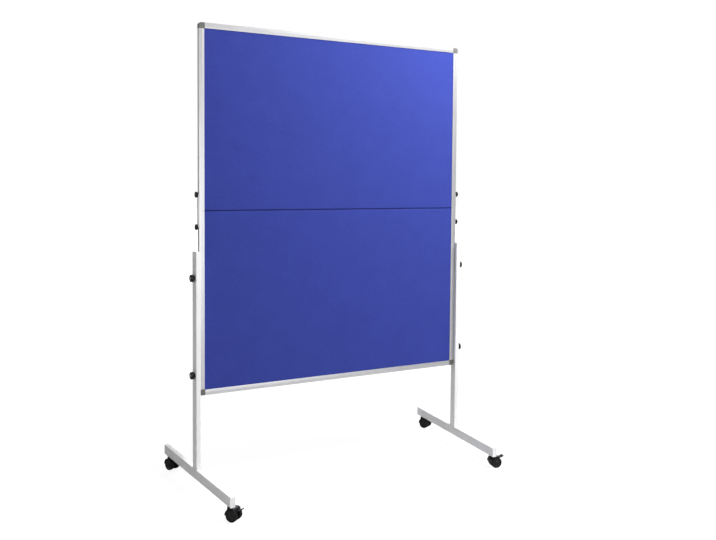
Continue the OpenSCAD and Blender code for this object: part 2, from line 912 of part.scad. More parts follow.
leg_knob(RIGHT, high_knob_z);  // right_upper_leg_knob
leg_knob(RIGHT, low_knob_z);  // right_lower_leg_knob
color("black") left_front() caster_hood();  // left_front_hood
color("silver") left_front() caster_axle();  // left_front_axle
color("dimgray") left_front() caster_wheel(-1);  // left_front_wheel_1
color("dimgray") left_front() caster_wheel(1);  // left_front_wheel_2
color("black") left_front() brake_lever();  // left_front_brake
color("black") left_rear() caster_hood();  // left_rear_hood
color("silver") left_rear() caster_axle();  // left_rear_axle
color("dimgray") left_rear() caster_wheel(-1);  // left_rear_wheel_1
color("dimgray") left_rear() caster_wheel(1);  // left_rear_wheel_2
color("black") left_rear() brake_lever();  // left_rear_brake
color("black") right_front() caster_hood();  // right_front_hood
color("silver") right_front() caster_axle();  // right_front_axle
color("dimgray") right_front() caster_wheel(-1);  // right_front_wheel_1
color("dimgray") right_front() caster_wheel(1);  // right_front_wheel_2
color("black") right_front() brake_lever();  // right_front_brake
color("black") right_rear() caster_hood();  // right_rear_hood
color("silver") right_rear() caster_axle();  // right_rear_axle
color("dimgray") right_rear() caster_wheel(-1);  // right_rear_wheel_1
color("dimgray") right_rear() caster_wheel(1);  // right_rear_wheel_2
color("black") right_rear() brake_lever();  // right_rear_brake
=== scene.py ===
"""Dresses the rolling partition: felt faces, caster wheels, finishes, light, floor and camera."""

import json
import math

import bmesh
import bpy
from bpy.props import FloatProperty, FloatVectorProperty, IntProperty, PointerProperty
from mathutils import Matrix, Vector, noise


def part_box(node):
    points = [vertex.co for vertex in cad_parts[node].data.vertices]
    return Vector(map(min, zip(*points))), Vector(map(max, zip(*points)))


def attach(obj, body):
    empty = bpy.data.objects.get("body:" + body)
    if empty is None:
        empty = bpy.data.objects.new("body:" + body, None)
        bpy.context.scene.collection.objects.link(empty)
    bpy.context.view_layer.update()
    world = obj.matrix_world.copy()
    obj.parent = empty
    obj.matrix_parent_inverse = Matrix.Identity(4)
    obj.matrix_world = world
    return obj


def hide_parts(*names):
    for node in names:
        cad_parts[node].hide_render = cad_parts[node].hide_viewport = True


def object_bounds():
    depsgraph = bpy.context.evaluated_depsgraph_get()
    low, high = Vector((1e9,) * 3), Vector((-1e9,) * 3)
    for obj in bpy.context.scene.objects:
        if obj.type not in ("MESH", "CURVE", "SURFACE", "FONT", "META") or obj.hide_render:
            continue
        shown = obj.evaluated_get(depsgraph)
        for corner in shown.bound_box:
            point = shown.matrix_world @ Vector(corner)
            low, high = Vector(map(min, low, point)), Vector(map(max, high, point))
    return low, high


bl_info = {
    "name": "Rolling partition",
    "version": (1, 0, 0),
    "blender": (4, 5, 0),
    "location": "3D View > Sidebar > Partition",
    "description": "Felt, caster wheels, finishes, light and camera for a folding felt partition",
    "category": "Object",
}

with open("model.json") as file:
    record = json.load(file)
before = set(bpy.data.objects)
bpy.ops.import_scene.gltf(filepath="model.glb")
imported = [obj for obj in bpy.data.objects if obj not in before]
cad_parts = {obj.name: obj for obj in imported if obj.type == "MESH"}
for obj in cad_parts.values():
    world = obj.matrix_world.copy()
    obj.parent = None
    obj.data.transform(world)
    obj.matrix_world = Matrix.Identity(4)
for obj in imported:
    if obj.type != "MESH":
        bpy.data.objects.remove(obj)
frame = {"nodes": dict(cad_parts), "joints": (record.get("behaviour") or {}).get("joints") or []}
CAD_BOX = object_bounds()

PHOTO_WIDTH = 716
PHOTO_HEIGHT = 540
SENSOR_WIDTH = 36.0
QUARTER_TURN = math.radians(90)

# nearly all values of a noise texture lie between these
NOISE_LOW = 0.3
NOISE_HIGH = 0.7

UPRIGHT_RAILS = ("lower_left_rail", "lower_right_rail", "upper_left_rail", "upper_right_rail")
CROSS_RAILS = ("bottom_rail", "top_rail")
CORNER_PIECES = ("lower_corner_caps", "upper_corner_caps")
CORES = ("lower_core", "upper_core")
LEG_TUBES = ("left_post", "right_post", "left_foot", "right_foot")
WHITE_MOULDINGS = ("tube_plugs", "caster_sleeves")
BRIGHT_STEEL = ("lower_hinge_leaves", "upper_hinge_leaves", "lower_hinge_screws", "upper_hinge_screws",
                "hinge_pins", "left_strap", "right_strap", "foot_bolts", "caster_pins")
PLAIN_STEEL = ("lower_inserts", "upper_inserts", "post_blocks")
CORNERS = ("left_front", "left_rear", "right_front", "right_rear")


# ---- kinds of setting ----

def srgb(red, green, blue):
    """Linear colour of an 8-bit screen colour."""
    levels = [channel / 255 for channel in (red, green, blue)]
    return tuple(level / 12.92 if level <= 0.04045 else ((level + 0.055) / 1.055) ** 2.4
                 for level in levels)


def colour(name, description, red, green, blue):
    """A colour, given as an 8-bit screen colour."""
    return FloatVectorProperty(name=name, description=description, subtype="COLOR", size=3,
                               min=0.0, max=1.0, default=srgb(red, green, blue))


def length(name, description, default, low, high):
    """A length in metres."""
    return FloatProperty(name=name, description=description, unit="LENGTH",
                         default=default, min=low, max=high)


def divisions(name, description, default, low, high):
    """A number of divisions."""
    return IntProperty(name=name, description=description, default=default, min=low, max=high)


def angle(name, description, degrees):
    """An angle, given in degrees."""
    return FloatProperty(name=name, description=description, subtype="ANGLE", default=math.radians(degrees))


def watts(name, description, default):
    """A lamp's power in watts."""
    return FloatProperty(name=name, description=description, subtype="POWER",
                         default=default, min=0.0, max=500.0)


def strength(name, description, default, high):
    """A strength from 0 upwards."""
    return FloatProperty(name=name, description=description, default=default, min=0.0, max=high)


def share(name, description, default):
    """A share from 0 to 1."""
    return FloatProperty(name=name, description=description, subtype="FACTOR",
                         default=default, min=0.0, max=1.0)


# ---- settings ----

class PartitionFinish(bpy.types.PropertyGroup):
    """Colours of the partition's finishes."""

    felt: colour("Felt", "Body colour of the felt", 50, 62, 145)
    felt_dark: colour("Felt shade", "Colour deep between the felt's fibres", 40, 50, 123)
    # the felt in the fold is painted shade: a darker blue that stands in for the valley's shadow where the
    # felt rolls back
    fold_shade_colour: colour("Felt in the fold", "Pressed felt where it rolls into the fold", 38, 48, 117)
    felt_light: colour("Felt fibres", "Colour of the felt's raised fibres", 62, 76, 165)
    aluminium: colour("Aluminium", "Anodised frame rails", 198, 198, 200)
    corner: colour("Corner piece", "Moulded corner pieces", 98, 98, 94)
    powder: colour("Powder coat", "White coating of the leg tubes", 243, 243, 243)
    white_plastic: colour("White moulding", "Tube plugs and caster sleeves", 246, 246, 246)
    black_plastic: colour("Black moulding", "Knobs, hoods and brake levers", 13, 13, 14)
    wheel: colour("Wheel", "Moulded wheel bodies", 24, 24, 26)
    tread: colour("Tread", "Soft tread of the wheels", 12, 12, 13)
    steel: colour("Zinc steel", "Hinges, straps, pins and bolts", 198, 199, 203)
    core: colour("Core board", "Raw fibreboard under the felt", 176, 148, 112)


class PartitionSizes(bpy.types.PropertyGroup):
    """Sizes of the pieces made here."""

    felt_roll: length("Felt roll", "Radius of the felt over the panel's edge", 0.0045, 0.0022, 0.005)
    felt_wave: length("Felt wave", "Height of the felt's faint unevenness", 0.00016, 0.0, 0.0002)
    fold_nap: length("Fold nap", "How far the felt's nap stands over the fold's edge", 0.0002, 0.0, 0.00024)
    # the fold fade is the depth below the face at which the painted fold shade is full
    full_fold_shade_depth: length("Fold fade", "Depth below the face at which the felt is fully pressed",
                      0.0004, 0.0003, 0.003)
    felt_columns: divisions("Felt columns", "Divisions across a felt face", 60, 8, 120)
    felt_rows: divisions("Felt rows", "Divisions up a felt face", 36, 8, 80)
    roll_steps: divisions("Roll steps", "Divisions of the felt's turn over the edge", 6, 3, 12)
    wheel_steps: divisions("Wheel steps", "Divisions round a wheel", 96, 24, 160)
    tread_depth: length("Tread depth", "Radial thickness of the tread", 0.0034, 0.001, 0.0045)
    shoulder: length("Shoulder", "Radius of the tread's rounded shoulders", 0.0025, 0.001, 0.003)
    rim: length("Rim", "Radial depth of the rim round the dished face", 0.005, 0.003, 0.007)
    dish: length("Dish", "How far the wheel's face lies behind its rim", 0.002, 0.0005, 0.003)
    bore: length("Bore", "Radius of the wheel's bore", 0.00308, 0.002, 0.004)
    hub: length("Hub", "Radius of the wheel's hub and of its cap", 0.008, 0.005, 0.01)
    recess_depth: length("Knob recess", "Depth of the round recess in a knob", 0.0008, 0.0005, 0.002)
    stud_end: length("Stud end", "Radius of the stud's end in a leg knob", 0.005, 0.003, 0.0062)
    stud_height: length("Stud end height", "How far it stands above the recess", 0.0006, 0.0003, 0.0008)
    stud_edge: length("Stud end edge", "Radius of the stud end's edge", 0.0002, 0.0001, 0.0003)


class PartitionView(bpy.types.PropertyGroup):
    """Camera of the photograph and the studio's light."""

    position: FloatVectorProperty(name="Camera", description="Camera's place", subtype="XYZ",
                                  unit="LENGTH", size=3, default=(-1.6024, -3.1513, 1.2712))
    heading: angle("Heading", "Direction of view, from +Y towards +X", 28.443)
    tilt: angle("Tilt", "Direction of view below the horizon", 2.827)
    roll: angle("Roll", "Turn of the camera about its axis", -0.456)
    focal_pixels: FloatProperty(name="Focal length", description="Focal length in photograph pixels",
                                subtype="PIXEL", default=807.0, min=100.0, max=3000.0)
    axis_row: FloatProperty(name="Axis row", description="Photograph row that the lens axis meets",
                            subtype="PIXEL", default=220.0, min=0.0, max=540.0)
    key_power: watts("Key light", "Power of the soft lamp above the front", 125.0)
    fill_power: watts("Fill light", "Power of the wide front lamp", 29.0)
    side_power: watts("Side light", "Power of the wide lamp on the left", 11.0)
    back_power: watts("Back light", "Power of the wide lamp behind", 42.0)
    overhead_strength: strength("Overhead light", "Strength of the soft overhead sun", 0.55, 10.0)
    world_strength: strength("Surround", "Strength of the pale surround as light", 0.12, 2.0)
    mirror_share: share("Mirrored surround", "How far bright surfaces mirror it as white", 0.4)
    floor_glow: strength("Floor glow", "Strength of the floor's own white to the camera", 1.3, 2.0)
    floor_colour: colour("Floor", "Pale studio floor", 198, 198, 198)


def finish_settings():
    return bpy.context.scene.partition_finish


def size_settings():
    return bpy.context.scene.partition_sizes


def view_settings():
    return bpy.context.scene.partition_view


# ---- material helpers ----

def new_finish(name, base, roughness, metallic=0.0, **sockets):
    """A principled material; returns (material, its node tree, the shader)."""
    material = bpy.data.materials.new(name)
    material.use_nodes = True
    tree = material.node_tree
    shader = tree.nodes["Principled BSDF"]
    shader.inputs["Base Color"].default_value = (*base, 1.0)
    shader.inputs["Roughness"].default_value = roughness
    shader.inputs["Metallic"].default_value = metallic
    for socket, value in sockets.items():
        shader.inputs[socket.replace("_", " ")].default_value = value
    return material, tree, shader


def object_place(tree):
    """Place on the piece, in metres."""
    return tree.nodes.new("ShaderNodeTexCoord").outputs["Object"]


def placed_noise(tree, size, detail=3.0, stretch=(1.0, 1.0, 1.0), turn=(0.0, 0.0, 0.0), gain=0.5):
    """Noise on object coordinates whose features are about size metres, drawn out by stretch."""
    mapping = tree.nodes.new("ShaderNodeMapping")
    mapping.inputs["Scale"].default_value = [1.0 / (size * times) for times in stretch]
    mapping.inputs["Rotation"].default_value = turn
    texture = tree.nodes.new("ShaderNodeTexNoise")
    texture.inputs["Scale"].default_value = 1.0
    texture.inputs["Detail"].default_value = detail
    texture.inputs["Roughness"].default_value = gain
    tree.links.new(object_place(tree), mapping.inputs["Vector"])
    tree.links.new(mapping.outputs["Vector"], texture.inputs["Vector"])
    return texture.outputs["Fac"]


def combine(tree, operation, *values):
    """Result of a Math operation on sockets or numbers."""
    node = tree.nodes.new("ShaderNodeMath")
    node.operation = operation
    for socket, value in zip(node.inputs, values):
        if isinstance(value, (int, float)):
            socket.default_value = value
        else:
            tree.links.new(value, socket)
    return node.outputs[0]


def mingle(tree, first, second, second_share):
    """The first value, with this share of it given over to the second."""
    kept = combine(tree, "MULTIPLY", first, 1.0 - second_share)
    added = combine(tree, "MULTIPLY", second, second_share)
    return combine(tree, "ADD", kept, added)


def remap(tree, value, low, high, to_low, to_high):
    """Turns the range from low to high into the range from to_low to to_high, and stays inside it."""
    node = tree.nodes.new("ShaderNodeMapRange")
    tree.links.new(value, node.inputs["Value"])
    for socket, number in (("From Min", low), ("From Max", high), ("To Min", to_low), ("To Max", to_high)):
        node.inputs[socket].default_value = number
    return node.outputs["Result"]


def shade(rgb, factor):
    """A lighter or darker colour."""
    return tuple(min(1.0, channel * factor) for channel in rgb)


def tint(tree, shader, factor, stops):
    """Base colour from a ramp of (position, colour) stops."""
    ramp = tree.nodes.new("ShaderNodeValToRGB")
    elements = ramp.color_ramp.elements
    while len(elements) < len(stops):
        elements.new(0.5)
    for element, (position, rgb) in zip(elements, stops):
        element.position = position
        element.color = (*rgb, 1.0)
    tree.links.new(factor, ramp.inputs["Fac"])
    tree.links.new(ramp.outputs["Color"], shader.inputs["Base Color"])


def cloud(tree, shader, factor, base, darker, lighter):
    """Base colour that wanders with a noise between a darker and a lighter shade."""
    tint(tree, shader, factor, ((NOISE_LOW, shade(base, darker)), (NOISE_HIGH, shade(base, lighter))))


def roughen(tree, shader, factor, low, high):
    """Roughness that wanders with a noise from low to high."""
    tree.links.new(remap(tree, factor, NOISE_LOW, NOISE_HIGH, low, high), shader.inputs["Roughness"])


def emboss(tree, shader, height, distance, amount):
    """Bump as high as the distance, in metres, where height is 1."""
    bump = tree.nodes.new("ShaderNodeBump")
    bump.inputs["Strength"].default_value = amount
    bump.inputs["Distance"].default_value = distance
    tree.links.new(height, bump.inputs["Height"])
    tree.links.new(bump.outputs["Normal"], shader.inputs["Normal"])


def dress(nodes, material):
    """Puts one material on CAD nodes."""
    for name in nodes:
        mesh = frame["nodes"][name].data
        mesh.materials.clear()
        mesh.materials.append(material)


# ---- finishes ----

def fold_depth(tree, start, full):
    """Mask of the painted fold shade: 0 on the faces, 1 where the felt has rolled back by the full depth.
    """
    face = abs(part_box("lower_front_felt")[0].y)
    place = tree.nodes.new("ShaderNodeSeparateXYZ")
    tree.links.new(object_place(tree), place.inputs["Vector"])
    from_middle = combine(tree, "ABSOLUTE", place.outputs["Y"])
    return remap(tree, from_middle, face - full, face - start, 1.0, 0.0)


def felt_finish():
    """Needled felt: crossing fibres, faint clouding, a soft sheen and painted shade where it rolls into the
    fold.
    """
    finish = finish_settings()
    sizes = size_settings()
    fibre_width = 0.00055
    fibre_stretch = (9.0, 1.0, 1.0)
    fibre_turns = (0.35, 1.25, 2.3)
    tuft_size = 0.0035
    cloud_size = 0.09
    nap_height = 0.0006
    fold_shade_strength = 0.4
    material, tree, shader = new_finish("needled_felt", finish.felt, roughness=0.93, Sheen_Weight=0.12,
                                        Sheen_Roughness=0.45, Specular_IOR_Level=0.2)
    shader.inputs["Sheen Tint"].default_value = (*shade(finish.felt_light, 1.4), 1.0)
    strands = [placed_noise(tree, fibre_width, detail=2.0, stretch=fibre_stretch, turn=(0.0, turn, 0.0))
               for turn in fibre_turns]
    fibres = strands[0]
    for strand in strands[1:]:
        fibres = combine(tree, "MAXIMUM", fibres, strand)
    tufts = placed_noise(tree, tuft_size, detail=4.0, gain=0.62)
    nap = mingle(tree, fibres, tufts, second_share=0.4)
    clouded = mingle(tree, nap, placed_noise(tree, cloud_size), second_share=0.08)
    # painted shade: the felt darkens as it rolls back into the fold, in place of the valley's shadow
    painted_fold_shade = combine(tree, "MULTIPLY", fold_depth(tree, sizes.felt_wave, sizes.full_fold_shade_depth), fold_shade_strength)
    tint(tree, shader, combine(tree, "SUBTRACT", clouded, painted_fold_shade),
         ((0.12, finish.fold_shade_colour), (0.36, finish.felt_dark),
          (0.53, finish.felt), (0.68, finish.felt_light)))
    emboss(tree, shader, nap, nap_height, amount=0.7)
    return material


def rail_finish(name, stretch):
    """Satin anodised aluminium with extrusion lines along the rail."""
    aluminium = finish_settings().aluminium
    line_width = 0.0005
    line_height = 0.00004
    patch_size = 0.03
    material, tree, shader = new_finish(name, aluminium, roughness=0.34, metallic=0.72,
                                        Specular_IOR_Level=0.5)
    lines = placed_noise(tree, line_width, stretch=stretch, gain=0.6)
    patches = placed_noise(tree, patch_size, detail=2.0)
    mottle = mingle(tree, lines, patches, second_share=0.4)
    cloud(tree, shader, mottle, aluminium, darker=0.95, lighter=1.03)
    roughen(tree, shader, lines, low=0.3, high=0.42)
    emboss(tree, shader, lines, line_height, amount=0.5)
    return material


def moulded_finish(name, base, roughness, specular=0.45, clouding=0.12):
    """Moulded plastic with a fine spark-eroded grain; clouding is its share of uneven colour."""
    grain_size = 0.0006
    grain_height = 0.00005
    handling_size = 0.018
    material, tree, shader = new_finish(name, base, roughness, Specular_IOR_Level=specular)
    handling = placed_noise(tree, handling_size)
    cloud(tree, shader, handling, base, darker=1 - clouding, lighter=1 + clouding)
    roughen(tree, shader, handling, low=roughness - 0.06, high=roughness + 0.08)
    emboss(tree, shader, placed_noise(tree, grain_size, detail=2.0), grain_height, amount=0.6)
    return material


def powder_finish():
    """White powder coat with a slight orange peel."""
    powder = finish_settings().powder
    peel_size = 0.0018
    peel_height = 0.00006
    flow_size = 0.05
    material, tree, shader = new_finish("white_powder_coat", powder, roughness=0.36,
                                        Specular_IOR_Level=0.5)
    peel = placed_noise(tree, peel_size, detail=2.0)
    flow = placed_noise(tree, flow_size, detail=2.0)
    cloud(tree, shader, flow, powder, darker=0.975, lighter=1.0)
    roughen(tree, shader, peel, low=0.31, high=0.42)
    emboss(tree, shader, peel, peel_height, amount=0.5)
    return material


def steel_finish(name, base, roughness):
    """Zinc plated steel with a faint crystalline bloom."""
    bloom_size = 0.0015
    etching_size = 0.0008
    etching_height = 0.00002
    material, tree, shader = new_finish(name, base, roughness, metallic=0.95)
    bloom = placed_noise(tree, bloom_size)
    cloud(tree, shader, bloom, base, darker=0.95, lighter=1.03)
    roughen(tree, shader, bloom, low=roughness - 0.03, high=roughness + 0.04)
    emboss(tree, shader, placed_noise(tree, etching_size, detail=2.0), etching_height, amount=0.5)
    return material


def board_finish():
    """Raw fibreboard, seen only at the fold."""
    core = finish_settings().core
    chip_size = 0.0015
    chip_height = 0.0003
    material, tree, shader = new_finish("raw_fibreboard", core, roughness=0.9)
    chips = placed_noise(tree, chip_size, detail=4.0, gain=0.65)
    tint(tree, shader, chips, ((0.35, shade(core, 0.75)), (0.65, shade(core, 1.15))))
    emboss(tree, shader, chips, chip_height, amount=0.6)
    return material


# ---- mesh helpers ----

def add_object(name, data):
    """Links a new object at the origin."""
    holder = bpy.data.objects.new(name, data)
    bpy.context.scene.collection.objects.link(holder)
    return holder


def add_piece(name, bm, materials):
    """Turns a finished bmesh into an object at the origin."""
    mesh = bpy.data.meshes.new(name)
    bm.to_mesh(mesh)
    bm.free()
    for material in materials:
        mesh.materials.append(material)
    return add_object(name, mesh)


def smooth(piece, sharpest=math.radians(35)):
    """Smooth shading, with the edges past the sharpest angle kept sharp."""
    mesh = piece.data
    bm = bmesh.new()
    bm.from_mesh(mesh)
    for face in bm.faces:
        face.smooth = True
    for edge in bm.edges:
        if len(edge.link_faces) == 2 and edge.calc_face_angle(0.0) > sharpest:
            edge.smooth = False
    bm.to_mesh(mesh)
    bm.free()


def extend(bm, vert, offset):
    """Grows a line by one edge and returns its new end."""
    made = bmesh.ops.extrude_vert_indiv(bm, verts=[vert])
    bmesh.ops.translate(bm, verts=made["verts"], vec=offset)
    return made["verts"][0]


# ---- felt ----

def felt_line(bm, start, run, roll, over_edge, outward, seam_up):
    """Draws a covering's line along its face, round the roll and over the panel's edge."""
    sizes = size_settings()
    end = bm.verts.new(start)
    for _ in range(sizes.felt_rows):
        end = extend(bm, end, Vector((0, 0, run / sizes.felt_rows)))
    roll_centre = end.co - Vector((0, outward * roll, 0))
    bmesh.ops.spin(bm, geom=[end], cent=roll_centre, axis=(1, 0, 0),
                   angle=QUARTER_TURN * outward * seam_up, steps=sizes.roll_steps)
    end = max(bm.verts, key=lambda vert: (vert.co.z * seam_up, -vert.co.y * outward))
    extend(bm, end, Vector((0, -outward * over_edge, 0)))


def draw_across(bm, width, columns):
    """Draws every edge of a line out sideways into a sheet of the given width."""
    edges = list(bm.edges)
    for _ in range(columns):
        made = bmesh.ops.extrude_edge_only(bm, edges=edges)["geom"]
        edges = [part for part in made if isinstance(part, bmesh.types.BMEdge)]
        verts = [part for part in made if isinstance(part, bmesh.types.BMVert)]
        bmesh.ops.translate(bm, verts=verts, vec=(width / columns, 0, 0))


def ripple(bm, face_y, height, outward):
    """Sinks the flat face here and there by up to the height, in long swells."""
    swells_per_metre = 7
    face_layer = outward * 3.0
    for vert in bm.verts:
        if abs(vert.co.y - face_y) < 1e-6:
            place = Vector((vert.co.x * swells_per_metre, face_layer, vert.co.z * swells_per_metre))
            vert.co.y -= outward * height * (0.5 + 0.5 * noise.noise(place))


def felt_sheet(node, core, outward, seam_up, material):
    """One felt covering: flat over the core board, rolled over its edge at the fold.

    outward is -1 for the front and 1 for the back; seam_up is 1 where the fold is above.
    """
    sizes = size_settings()
    low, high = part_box(node)
    core_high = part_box(core)[1]
    face_y = high.y if outward > 0 else low.y
    thickness = abs(face_y) - core_high.y
    far_z, seam_z = (low.z, high.z) if seam_up > 0 else (high.z, low.z)
    seam_z += seam_up * sizes.fold_nap
    roll = sizes.felt_roll
    run = (seam_z - seam_up * roll) - far_z
    middle_gap = 0.00015
    over_edge = abs(face_y) - roll - middle_gap
    width = high.x - low.x
    bm = bmesh.new()
    felt_line(bm, (low.x, face_y, far_z), run, roll, over_edge, outward, seam_up)
    draw_across(bm, width, sizes.felt_columns)
    ripple(bm, face_y, sizes.felt_wave, outward)
    bmesh.ops.recalc_face_normals(bm, faces=bm.faces)
    flat_faces = [face for face in bm.faces if abs(face.normal.y) > 0.9]
    if sum(face.normal.y for face in flat_faces) * outward < 0:
        bmesh.ops.reverse_faces(bm, faces=bm.faces)
    bmesh.ops.solidify(bm, geom=list(bm.faces), thickness=thickness - sizes.felt_wave)
    bmesh.ops.recalc_face_normals(bm, faces=bm.faces)
    piece = add_piece(f"{node}_cover", bm, [material])
    smooth(piece)
    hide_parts(node)
    return piece


class PARTITION_OT_felt(bpy.types.Operator):
    """Covers both faces of both halves with felt"""

    bl_idname = "partition.felt"
    bl_label = "Felt faces"

    def execute(self, context):
        material = felt_finish()
        for half, body, seam_up in (("lower", "stand", 1), ("upper", "upper_half", -1)):
            for face, outward in (("front", -1), ("back", 1)):
                piece = felt_sheet(f"{half}_{face}_felt", f"{half}_core", outward, seam_up, material)
                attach(piece, body)
        return {"FINISHED"}


# ---- wheels ----

def arc(centre, radius, start, end, steps=6):
    """Points of an arc in a section; angles in degrees."""
    turns = [math.radians(start + (end - start) * step / steps) for step in range(steps + 1)]
    return [(centre[0] + radius * math.cos(turn), centre[1] + radius * math.sin(turn)) for turn in turns]


def lathe(points, steps, place):
    """Spins a closed section of (distance from the axis, height) points into a solid along an axis."""
    bm = bmesh.new()
    end = bm.verts.new((points[0][0], 0, points[0][1]))
    for (radius, height), (next_radius, next_height) in zip(points, points[1:]):
        end = extend(bm, end, Vector((next_radius - radius, 0, next_height - height)))
    bmesh.ops.spin(bm, geom=list(bm.verts) + list(bm.edges), cent=(0, 0, 0), axis=(0, 0, 1),
                   angle=math.tau, steps=steps, use_merge=True)
    bmesh.ops.remove_doubles(bm, verts=bm.verts, dist=1e-6)
    bmesh.ops.recalc_face_normals(bm, faces=bm.faces)
    bmesh.ops.transform(bm, matrix=place, verts=bm.verts)
    return bm


def along(origin, axis):
    """Matrix that puts the local Z axis on an axis through a point."""
    return Matrix.Translation(origin) @ Vector((0, 0, 1)).rotation_difference(axis).to_matrix().to_4x4()


def joint_line(joint):
    """A joint's point and its axis, in metres."""
    return Vector(joint["pos_m"]), Vector(joint["axis"]).normalized()


def reach_along(node, centre, axis):
    """How far a CAD node reaches along an axis, measured from a point on it."""
    reach = [(vert.co - centre).dot(axis) for vert in frame["nodes"][node].data.vertices]
    return min(reach), max(reach)


def wheel_section(radius, width):
    """Wheel section from the end of the bore round the tread to the middle of the cap."""
    sizes = size_settings()
    cap_thickness = 0.003
    cap_edge = 0.0012
    cap_foot = 0.0003
    ring = 0.0008
    rim_lip = 0.0004
    rim_foot = 0.0006
    tread_step = 0.0002
    tread_groove = 0.0004
    shoulder = sizes.shoulder
    hub = sizes.hub
    dish_face = width - sizes.dish
    rim_face = width - tread_step
    rim_in = radius - sizes.rim
    tread_in = radius - sizes.tread_depth
    bore_end = width - cap_thickness
    ring_middle = ((rim_in + hub) / 2, dish_face)
    inner = [(0, bore_end), (sizes.bore, bore_end), (sizes.bore, 0), (hub, 0), (hub, sizes.dish),
             (rim_in, sizes.dish), (rim_in, 0)]
    inner_shoulder = arc((radius - shoulder, shoulder), shoulder, -90, 0)
    outer_shoulder = arc((radius - shoulder, width - shoulder), shoulder, 0, 90)[:-1]
    groove = [(tread_in + tread_groove, rim_face), (tread_in, rim_face - tread_groove),
              (tread_in - tread_groove, rim_face)]
    rim_edge = [(rim_in + rim_lip, rim_face), (rim_in, rim_face - rim_lip), (rim_in - rim_foot, dish_face)]
    raised_ring = arc(ring_middle, ring, 0, 180, 8)
    cap = [(hub + cap_foot, dish_face), (hub, dish_face + cap_foot)]
    cap += arc((hub - cap_edge, width - cap_edge), cap_edge, 0, 90) + [(0, width)]
    return inner + inner_shoulder + outer_shoulder + groove + rim_edge + raised_ring + cap


def wheel_mesh(name, node, joint, materials):
    """Caster wheel: soft tread, dished face with a ring, hub cap over the axle's end.

    materials are the body's and the tread's.
    """
    sizes = size_settings()
    centre, axis = joint_line(joint)
    low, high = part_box(node)
    if ((low + high) / 2 - centre).dot(axis) < 0:
        axis.negate()
    inner, outer = reach_along(node, centre, axis)
    radius = centre.z - CAD_BOX[0].z
    origin = centre + axis * inner
    bm = lathe(wheel_section(radius, outer - inner), sizes.wheel_steps, along(origin, axis))
    for face in bm.faces:
        offset = face.calc_center_median() - origin
        from_axis = (offset - axis * offset.dot(axis)).length
        face.material_index = 1 if from_axis > radius - sizes.tread_depth else 0
    piece = add_piece(name, bm, materials)
    smooth(piece, sharpest=math.radians(30))
    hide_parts(node)
    return piece


class PARTITION_OT_wheels(bpy.types.Operator):
    """Spins the eight caster wheels"""

    bl_idname = "partition.wheels"
    bl_label = "Caster wheels"

    def execute(self, context):
        finish = finish_settings()
        materials = [moulded_finish("wheel_body", finish.wheel, roughness=0.38, specular=0.25),
                     moulded_finish("wheel_tread", finish.tread, roughness=0.62, specular=0.2)]
        for joint in frame["joints"]:
            if joint["name"].endswith("_roll"):
                body = joint["child"]
                piece = wheel_mesh(f"{body}_turned", body, joint, materials)
                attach(piece, body)
        return {"FINISHED"}


# ---- knobs ----

def stud_end(name, node, joint, material):
    """Bright end of the stud, set in the round recess of a leg knob."""
    sizes = size_settings()
    edge = sizes.stud_edge
    centre, axis = joint_line(joint)
    recess_floor = reach_along(node, centre, axis)[1] - sizes.recess_depth
    section = [(0, 0), (sizes.stud_end, 0)]
    section += arc((sizes.stud_end - edge, sizes.stud_height - edge), edge, 0, 90)
    section += [(0, sizes.stud_height)]
    bm = lathe(section, sizes.wheel_steps, along(centre + axis * recess_floor, axis))
    piece = add_piece(name, bm, [material])
    smooth(piece)
    return piece


class PARTITION_OT_stud_ends(bpy.types.Operator):
    """Sets the stud's bright end into the four leg knobs"""

    bl_idname = "partition.stud_ends"
    bl_label = "Stud ends"

    def execute(self, context):
        material = steel_finish("stud_end_zinc", finish_settings().steel, roughness=0.35)
        for joint in frame["joints"]:
            knob = joint["child"]
            if knob.endswith("_leg_knob"):
                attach(stud_end(f"{knob}_stud_end", knob, joint, material), knob)
        return {"FINISHED"}


# ---- finishes of the carried-over pieces ----

class PARTITION_OT_frame_finish(bpy.types.Operator):
    """Finishes the frame: rails, corner pieces and core boards"""

    bl_idname = "partition.frame_finish"
    bl_label = "Frame finishes"

    def execute(self, context):
        line_stretch = 400.0
        dress(UPRIGHT_RAILS, rail_finish("anodised_upright", (1.0, 1.0, line_stretch)))
        dress(CROSS_RAILS, rail_finish("anodised_cross", (line_stretch, 1.0, 1.0)))
        dress(CORNER_PIECES, moulded_finish("corner_moulding", finish_settings().corner, roughness=0.5))
        dress(CORES, board_finish())
        return {"FINISHED"}


class PARTITION_OT_leg_finish(bpy.types.Operator):
    """Finishes the legs: coated tubes, plugs and sleeves"""

    bl_idname = "partition.leg_finish"
    bl_label = "Leg finishes"

    def execute(self, context):
        white = finish_settings().white_plastic
        dress(LEG_TUBES, powder_finish())
        dress(WHITE_MOULDINGS, moulded_finish("white_moulding", white, roughness=0.45, clouding=0.015))
        return {"FINISHED"}


class PARTITION_OT_fitting_finish(bpy.types.Operator):
    """Finishes the fittings: knobs, hoods, brake levers, hinges, straps and bolts"""

    bl_idname = "partition.fitting_finish"
    bl_label = "Fitting finishes"

    def execute(self, context):
        black = finish_settings().black_plastic
        steel = finish_settings().steel
        knobs = [name for name in frame["nodes"] if name.endswith("_knob")]
        hoods = [f"{corner}_hood" for corner in CORNERS]
        levers = [f"{corner}_brake" for corner in CORNERS]
        axles = [f"{corner}_axle" for corner in CORNERS]
        dress(knobs, moulded_finish("knob_moulding", black, roughness=0.42, specular=0.22))
        dress(hoods, moulded_finish("hood_moulding", black, roughness=0.36, specular=0.25))
        dress(levers, moulded_finish("lever_moulding", black, roughness=0.4, specular=0.25))
        dress((*BRIGHT_STEEL, *axles), steel_finish("bright_zinc", steel, roughness=0.3))
        dress(PLAIN_STEEL, steel_finish("plain_steel", shade(steel, 0.8), roughness=0.4))
        return {"FINISHED"}


# ---- stage ----

